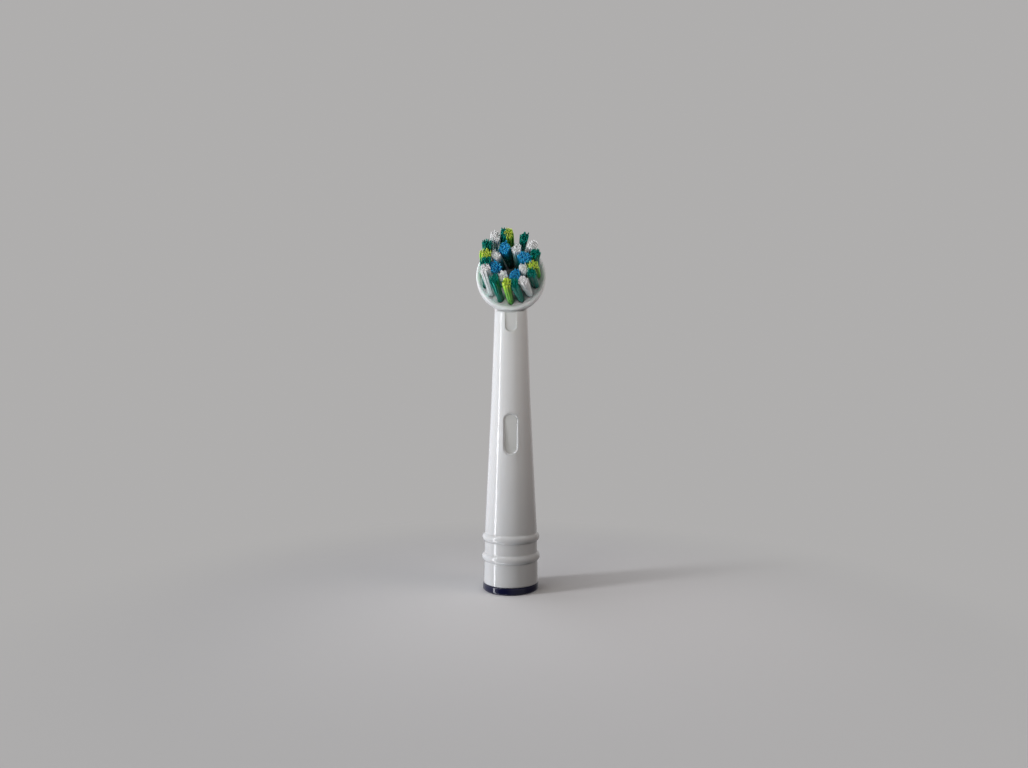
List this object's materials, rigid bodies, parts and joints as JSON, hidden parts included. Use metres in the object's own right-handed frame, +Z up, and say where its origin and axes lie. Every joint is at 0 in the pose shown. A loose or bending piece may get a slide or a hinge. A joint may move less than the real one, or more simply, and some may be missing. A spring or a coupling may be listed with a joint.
{
  "type": "electric toothbrush head",
  "caption": "Push-on electric toothbrush head: tapered hollow neck with handle socket and round bristle disc swung to and fro by a cranked drive rod.",
  "frame": {"origin": "centre of the handle socket's mouth, in the plane of the foot", "axes": "+Z up the neck towards the head, -Y the way the bristles point"},
  "size_m": [0.0156, 0.0202, 0.0762],
  "materials": {
    "neck_white": "moulded, glossy",
    "liner_white": "moulded, satin",
    "ring_navy": "moulded, glossy",
    "coupling_white": "moulded, satin",
    "steel": "drawn wire, bright",
    "disc_white": "moulded, slightly translucent",
    "bristle_lime": "nylon filament",
    "bristle_green": "nylon filament",
    "bristle_blue": "nylon filament",
    "bristle_white": "nylon filament"
  },
  "bodies": {
    "housing": {"disc_axle": "steel", "id_ring": "ring_navy", "neck_housing": "neck_white", "retaining_pin": "steel", "socket_insert": "liner_white"},
    "disc": {"bristle_disc": "disc_white", "inner_blue_tuft_1": "bristle_blue", "inner_blue_tuft_2": "bristle_blue", "inner_blue_tuft_3": "bristle_blue", "inner_blue_tuft_4": "bristle_blue", "inner_white_tuft_1": "bristle_white", "inner_white_tuft_2": "bristle_white", "inner_white_tuft_3": "bristle_white", "inner_white_tuft_4": "bristle_white", "outer_green_tuft_1": "bristle_green", "outer_green_tuft_2": "bristle_green", "outer_green_tuft_3": "bristle_green", "outer_green_tuft_4": "bristle_green", "outer_green_tuft_5": "bristle_green", "outer_green_tuft_6": "bristle_green", "outer_green_tuft_7": "bristle_green", "outer_green_tuft_8": "bristle_green", "outer_lime_tuft_1": "bristle_lime", "outer_lime_tuft_2": "bristle_lime", "outer_lime_tuft_3": "bristle_lime", "outer_lime_tuft_4": "bristle_lime", "outer_white_tuft_1": "bristle_white", "outer_white_tuft_2": "bristle_white", "outer_white_tuft_3": "bristle_white", "outer_white_tuft_4": "bristle_white"},
    "drive": {"drive_coupling": "coupling_white", "drive_rod": "steel", "retaining_clip": "steel"}
  },
  "joints": [
    {"name": "disc_swing", "type": "hinge", "parent": "housing", "child": "disc", "pos_m": [0, 0, 0.0683], "axis": [0, -1, 0], "range_deg": [-22.5, 22.5]},
    {"name": "drive_turn", "type": "hinge", "parent": "housing", "child": "drive", "pos_m": [0, 0, 0], "axis": [0, 0, 1], "range_deg": [-22.5, 22.5]}
  ],
  "couplings": [
    {"joint": "drive_turn", "follows": "disc_swing", "ratio": 1}
  ]
}
